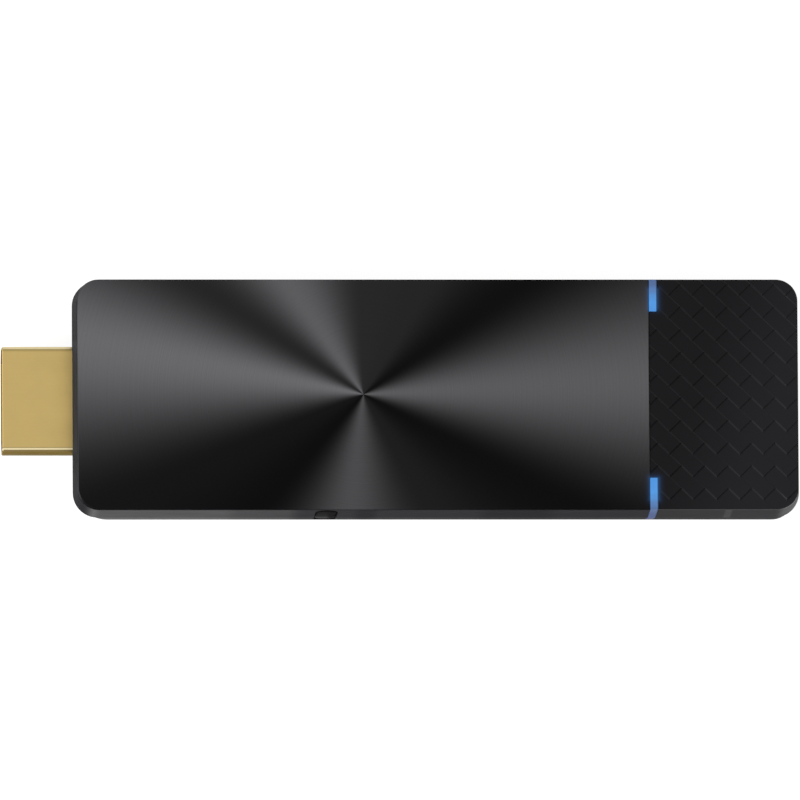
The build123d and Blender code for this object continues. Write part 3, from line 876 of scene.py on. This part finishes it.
# The sheen is painted into the plate's colour by bearing round its middle
painted_sheen_root = ramp_node(tree, turned, painted_fan_steps)
ring = math_node(tree, "DIVIDE", length_node(tree, part["X"], part["Y"]), groove_width)
rings = add_node(
    tree,
    "ShaderNodeTexNoise",
    {"W": ring, "Scale": 1.0, "Detail": 2.0},
    noise_dimensions="1D",
).outputs["Fac"]
painted_sheen = math_node(
    tree,
    "MULTIPLY",
    math_node(tree, "MULTIPLY", painted_sheen_root, painted_sheen_root),
    range_node(tree, rings, ring_low, ring_high, 0.94, 1.06, smooth=False),
)
facing = parts(tree, add_node(tree, "ShaderNodeNewGeometry").outputs["True Normal"])
end_rim = math_node(
    tree,
    "MULTIPLY",
    range_node(tree, facing["Z"], 0.96, 0.88),
    range_node(tree, math_node(tree, "ABSOLUTE", facing["X"]), 0.50, 0.69),
)
rimmed = colour_mix(tree, end_rim, scaled(tree, plate_tint, painted_sheen), end_rim_colour)
worn = group_node(tree, edge_wear, Place=place, Amount=0.15)["Mask"]
feed(
    shader,
    Base_Color=colour_mix(tree, worn, rimmed, plate_edge_colour),
    Roughness=range_node(
        tree,
        rings,
        ring_low,
        ring_high,
        plate_roughness - plate_roughness_change,
        plate_roughness + plate_roughness_change,
    ),
    Emission_Color=group_node(tree, light_spill, Place=place)["Colour"],
)
bump(shader, rings, groove_depth)
dress(plate_metal, "top_plate")

adhesive_film, tree, shader = new_material("adhesive_film", Specular_IOR_Level=0.35)
fibres = noise_node(tree, object_place(tree), 0.3 * MM, detail=3.0, stretch=(5, 1, 1))
feed(
    shader,
    Base_Color=colour_mix(tree, fibres, (0.42, 0.40, 0.34, 1), (0.55, 0.53, 0.47, 1)),
    Roughness=range_node(tree, fibres, 0.0, 1.0, 0.5, 0.7),
)
bump(shader, fibres, 0.01 * MM)
dress(adhesive_film, "plate_adhesive")

# Woven cap. A radio-clear moulding over the antennas, its top cut in the mould like a
# weave of bricks, each laid slantwise and tilted along its length so its far end stands up.
weave_pitch_x = 3.05 * MM
weave_pitch_y = 2.96 * MM
weave_columns = range(-4, 7)
weave_rows = range(-8, 9)
weave_start = Vector((7.08 * MM, -0.42 * MM))  # from the seam to the low end of one brick
weave_rise = 0.14 * MM  # along each brick
weave_side_rise = 0.095 * MM  # and across it, at the middle of the cap
weave_side_change = 0.0042  # more towards the rear light, none at the far front corner
weave_side_most = 0.115 * MM
weave_top = 0.004 * MM  # below the cap's own top
cutter_height = 1 * MM  # above it
same_corner = 0.0005 * MM  # the cap's corners that lie nearer than this are one
end_groove_width = 0.22 * MM  # between the ends of two bricks
end_groove_depth = 0.036 * MM  # at the middle of the cap
end_groove_change = -0.0011  # shallower towards the rear
high_step_run = 0.18 * MM  # of the slope along a brick's side, where the step is high
low_step_run = 0.07 * MM  # and where it is low
# Each corner of a brick: how far along it lies, how far across, and the slope beside it
brick_corners = (
    (0.0, 0.0, high_step_run),
    (0.5, 0.0, high_step_run),
    (0.5, 0.0, low_step_run),
    (1.0, 0.0, low_step_run),
    (1.0, 1.0, high_step_run),
    (0.5, 1.0, high_step_run),
    (0.5, 1.0, low_step_run),
    (0.0, 1.0, low_step_run),
)

cap_low, cap_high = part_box("antenna_cap")
weave_middle = ((cap_low + cap_high) / 2).to_2d()
brick_run = Vector((weave_pitch_x, -weave_pitch_y))
brick_reach = Vector((-weave_pitch_x / 2, -weave_pitch_y / 2))
run_margin = end_groove_width / 2 / brick_run.length

relief = bmesh.new()
bricks = {}
groove_ends = {}
for column in weave_columns:
    for row in weave_rows:
        origin = weave_start + Vector((column * weave_pitch_x, row * weave_pitch_y))
        origin.x += cap_low.x
        off_middle = origin - weave_middle
        side_rise = weave_side_rise + weave_side_change * (off_middle.y - off_middle.x)
        side_rise = min(side_rise, weave_side_most)
        corners = []
        for run, reach, step_run in brick_corners:
            reach_margin = step_run / 2 / brick_reach.length
            inset_run = min(max(run, run_margin), 1 - run_margin)
            inset_reach = min(max(reach, reach_margin), 1 - reach_margin)
            spot = origin + brick_run * inset_run + brick_reach * inset_reach
            fall = weave_rise * (1 - inset_run) + side_rise * (1 - inset_reach)
            height = cap_high.z - weave_top - fall
            corners.append(relief.verts.new((spot.x, spot.y, height)))
        bricks[column, row] = corners
        groove_ends[column, row] = []
        groove_depth_here = end_groove_depth + end_groove_change * off_middle.y
        for corner, reach in ((0, 0.0), (7, 1.0)):
            spot = origin + brick_reach * min(max(reach, run_margin), 1 - run_margin)
            height = corners[corner].co.z - groove_depth_here
            groove_ends[column, row].append(relief.verts.new((spot.x, spot.y, height)))


def join_bricks(*ends):
    """One face of the slopes between bricks, where all of them are there."""
    if all(place in bricks for place, _ in ends):
        relief.faces.new([(bricks[place] + groove_ends[place])[end] for place, end in ends])


# A brick's corners are 0 to 7, and the groove before its low end has 8 and 9
for (column, row), corners in bricks.items():
    here = (column, row)
    after = (column + 1, row - 1)
    above = (column, row + 1)
    beyond = (column + 1, row)
    relief.faces.new(corners)
    join_bricks((here, 3), (after, 8), (after, 9), (here, 4))
    join_bricks((here, 8), (here, 0), (here, 7), (here, 9))
    join_bricks((here, 0), (above, 5), (above, 4), (here, 1))
    join_bricks((here, 2), (beyond, 7), (beyond, 6), (here, 3))
    join_bricks((here, 1), (above, 4), (beyond, 9))
    join_bricks((here, 1), (beyond, 9), (here, 2))
    join_bricks((here, 2), (beyond, 9), (beyond, 7))
    join_bricks((after, 8), (here, 3), (beyond, 6))
    join_bricks((after, 8), (beyond, 6), (beyond, 5))
    join_bricks((after, 8), (beyond, 5), (after, 0))

# The cutter is everything above that relief: a copy of it, raised clear of the cap, and
# walls between the two rims
loose = [corner for corner in relief.verts if not corner.link_faces]
bmesh.ops.delete(relief, geom=loose, context="VERTS")
raised = bmesh.ops.duplicate(relief, geom=relief.verts[:] + relief.edges[:] + relief.faces[:])
twins = raised["vert_map"]
lid = {item for item in raised["geom"] if isinstance(item, bmesh.types.BMVert)}
rims = [edge.verts[:] for edge in relief.edges if edge.is_boundary and edge.verts[0] not in lid]
for first, second in rims:
    relief.faces.new((first, second, twins[second], twins[first]))
for corner in lid:
    corner.co.z = cap_high.z + cutter_height
bmesh.ops.recalc_face_normals(relief, faces=relief.faces)
cutter_mesh = bpy.data.meshes.new("weave_cutter")
relief.to_mesh(cutter_mesh)
relief.free()
cutter = bpy.data.objects.new("weave_cutter", cutter_mesh)
bpy.context.collection.objects.link(cutter)

cap_mesh = nodes["antenna_cap"].data.copy()
cap_mesh.name = "woven_cap"
cap_form = bmesh.new()
cap_form.from_mesh(cap_mesh)
bmesh.ops.remove_doubles(cap_form, verts=cap_form.verts, dist=same_corner)
cap_form.to_mesh(cap_mesh)
cap_form.free()
if cap_mesh.attributes.get("custom_normal"):
    cap_mesh.attributes.remove(cap_mesh.attributes["custom_normal"])
woven_cap = bpy.data.objects.new("woven_cap", cap_mesh)
bpy.context.collection.objects.link(woven_cap)
cutting = woven_cap.modifiers.new("relief", "BOOLEAN")
cutting.operation = "DIFFERENCE"
cutting.solver = "EXACT"
cutting.object = cutter
bpy.context.view_layer.update()
woven_mesh = bpy.data.meshes.new_from_object(
    woven_cap.evaluated_get(bpy.context.evaluated_depsgraph_get())
)
woven_cap.modifiers.clear()
woven_cap.data = woven_mesh
bpy.data.objects.remove(cutter)

# Broad walls shade smoothly round the corners, while every line of the relief stays crisp
relief_depth = 0.3 * MM
sharp_turn = math.radians(28)
sharp_relief_turn = math.radians(0.5)
woven_form = bmesh.new()
woven_form.from_mesh(woven_mesh)
for face in woven_form.faces:
    face.smooth = True
for edge in woven_form.edges:
    on_relief = all(corner.co.z > cap_high.z - relief_depth for corner in edge.verts)
    turn = edge.calc_face_angle(0.0) if len(edge.link_faces) == 2 else math.pi
    edge.smooth = turn < (sharp_relief_turn if on_relief else sharp_turn)
woven_form.to_mesh(woven_mesh)
woven_form.free()

wall_roughness = 0.72
wall_top = cap_high.z - 0.5 * MM  # and from here up it turns as smooth as the weave
weave_roughness = 0.55  # where the mould was polished after it was cut
corner_polish = 0.23  # of the two far corners, rubbed in a pocket
corner_start_x = 48.4 * MM
corner_start_y = 12.0 * MM
corner_fade = 1.2 * MM
weld_line_x = 42.30 * MM  # where the plastic met in the mould, a glossier line down each wall
weld_line_side = 0.30 * MM
weld_polish = 0.15
cap_sheen_start = 36 * MM  # painted shade and sheen: the cap is painted darker here and paler on out to its far front corner
cap_sheen_end = 50 * MM
cap_sheen_slant = -0.3  # how much of the way to the rear counts against the way outwards
cap_sheen_least = 0.6
cap_sheen_most = 1.45
cap_plastic = moulded_material(
    "cap_plastic",
    (0.0063, 0.0062, 0.0071, 1),
    (0.020, 0.020, 0.022, 1),
    roughness=wall_roughness,
    grain=0.12 * MM,
    grain_depth=0.003 * MM,
    wear=0.5,
    Specular_IOR_Level=0.10,
    Specular_Tint=(0.985, 0.965, 1.0, 1),
    Emission_Strength=1.0,
)
tree, shader = surface_of(cap_plastic)
place = object_place(tree)
part = parts(tree, place)
aside = math_node(tree, "ABSOLUTE", part["Y"])
# The cap's colour is painted darker towards the guides and paler towards its far front corner, as
# sheen
towards_corner = math_node(tree, "MULTIPLY_ADD", part["Y"], cap_sheen_slant, part["X"])
cap_painted_sheen = range_node(tree, towards_corner, cap_sheen_start, cap_sheen_end, cap_sheen_least, cap_sheen_most)
feed(
    shader,
    Base_Color=scaled(tree, fed(shader, "Base Color"), cap_painted_sheen),
    Emission_Color=group_node(tree, light_spill, Place=place)["Colour"],
)
on_top = range_node(tree, part["Z"], wall_top, cap_high.z - relief_depth)
from_weld = math_node(tree, "ABSOLUTE", math_node(tree, "SUBTRACT", part["X"], weld_line_x))
on_weld = range_node(tree, from_weld, 2 * weld_line_side, weld_line_side, 0.0, weld_polish)
past_end = range_node(tree, part["X"], corner_start_x, corner_start_x + corner_fade)
past_side = range_node(
    tree, aside, corner_start_y, corner_start_y + corner_fade, 0.0, corner_polish
)
for smoother in (
    math_node(tree, "MULTIPLY", on_top, wall_roughness - weave_roughness),
    math_node(tree, "MULTIPLY", on_weld, math_node(tree, "SUBTRACT", 1.0, on_top)),
    math_node(tree, "MULTIPLY", past_end, past_side),
):
    smooth_down(shader, smoother)
woven_mesh.materials.clear()
woven_mesh.materials.append(cap_plastic)
dress(cap_plastic, "antenna_cap")
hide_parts("antenna_cap")
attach(woven_cap, "housing")

# Studio. A pale floor that keeps a soft shadow, an even pale room, one broad lamp from the
# plug end's side, and a far camera that looks almost straight down.
floor_size = 6.0
floor_sink = 0.02 * MM
floor_glow = 0.86  # of the floor where the camera sees it, so that only shadows are grey
floor_mesh = bpy.data.meshes.new("floor")
floor_form = bmesh.new()
bmesh.ops.create_grid(floor_form, x_segments=8, y_segments=8, size=floor_size / 2)
floor_form.to_mesh(floor_mesh)
floor_form.free()
floor = bpy.data.objects.new("floor", floor_mesh)
floor.location.z = -floor_sink
bpy.context.collection.objects.link(floor)


def shown_node(tree):
    """1 where the camera sees a surface straight, mirrored or through a clear piece."""
    seen = add_node(tree, "ShaderNodeLightPath").outputs
    by_piece = math_node(tree, "MAXIMUM", seen["Is Glossy Ray"], seen["Is Transmission Ray"])
    return math_node(tree, "MAXIMUM", seen["Is Camera Ray"], by_piece)


floor_paint, tree, shader = new_material(
    "floor_paint",
    Base_Color=grey(0.26),
    Roughness=0.9,
    Specular_IOR_Level=0.1,
    Emission_Strength=1.0,
)
feed(shader, Emission_Color=scaled(tree, (floor_glow,) * 3, shown_node(tree)))
floor_mesh.materials.append(floor_paint)

lamp_side = (-0.98, -0.20, 0.0)
lamp_side_light = 0.38  # how much lighter the room is on the lamp's side
room_light = 0.45  # level with the floor
overhead_light = 0.92
least_light = 0.12
room = bpy.data.worlds.new("room")
room.use_nodes = True
bpy.context.scene.world = room
tree = room.node_tree
sky = tree.nodes["Background"]
sky.inputs["Color"].default_value = grey(1)
direction = add_node(tree, "ShaderNodeTexCoord").outputs["Generated"]
towards_lamp = vector_node(tree, "DOT_PRODUCT", direction, lamp_side)
overhead = range_node(
    tree, parts(tree, direction)["Z"], 0.0, 0.8, room_light, overhead_light
)
lit = math_node(
    tree,
    "MAXIMUM",
    math_node(tree, "MULTIPLY_ADD", towards_lamp, lamp_side_light, overhead),
    least_light,
)
unlit = math_node(tree, "SUBTRACT", 1.0, lit)
feed(sky, Strength=math_node(tree, "MULTIPLY_ADD", unlit, shown_node(tree), lit))

lamp_data = bpy.data.lights.new("broad_lamp", "AREA")
lamp_data.shape = "RECTANGLE"
lamp_data.size = 0.9
lamp_data.size_y = 0.7
lamp_data.energy = 9.0
lamp = bpy.data.objects.new("broad_lamp", lamp_data)
lamp.location = (-0.76, -0.50, 0.70)
lamp.rotation_mode = "QUATERNION"
lamp.rotation_quaternion = lamp.location.to_track_quat("Z", "Y")
bpy.context.collection.objects.link(lamp)

view_tilt = math.radians(6.7)  # from straight down, towards the front
view_lean = math.radians(3.18)  # and towards the plug end
view_distance = 4.322
plug_room_x = 4.92 * MM  # the picture's middle lies this much nearer the plug
plug_room_y = 0.735 * MM  # and this much nearer the front than the top's middle
view_up = Vector((0, math.cos(view_tilt), math.sin(view_tilt)))
view_back = Vector(
    (
        -math.sin(view_lean),
        -math.cos(view_lean) * math.sin(view_tilt),
        math.cos(view_lean) * math.cos(view_tilt),
    )
)
view_right = view_up.cross(view_back)
top_middle = Vector(((shell_low.x + shell_high.x) / 2, 0, plate_high.z))
look_at = top_middle - view_right * plug_room_x - view_up * plug_room_y
camera_data = bpy.data.cameras.new("camera")
camera_data.lens = 1500
camera_data.sensor_width = 36
camera_data.clip_start = 0.1
camera_data.clip_end = 20
camera = bpy.data.objects.new("camera", camera_data)
camera.matrix_world = Matrix.Translation(look_at + view_back * view_distance) @ Matrix(
    (view_right, view_up, view_back)
).transposed().to_4x4()
bpy.context.collection.objects.link(camera)
bpy.context.scene.camera = camera
bpy.context.scene.view_settings.view_transform = "Standard"
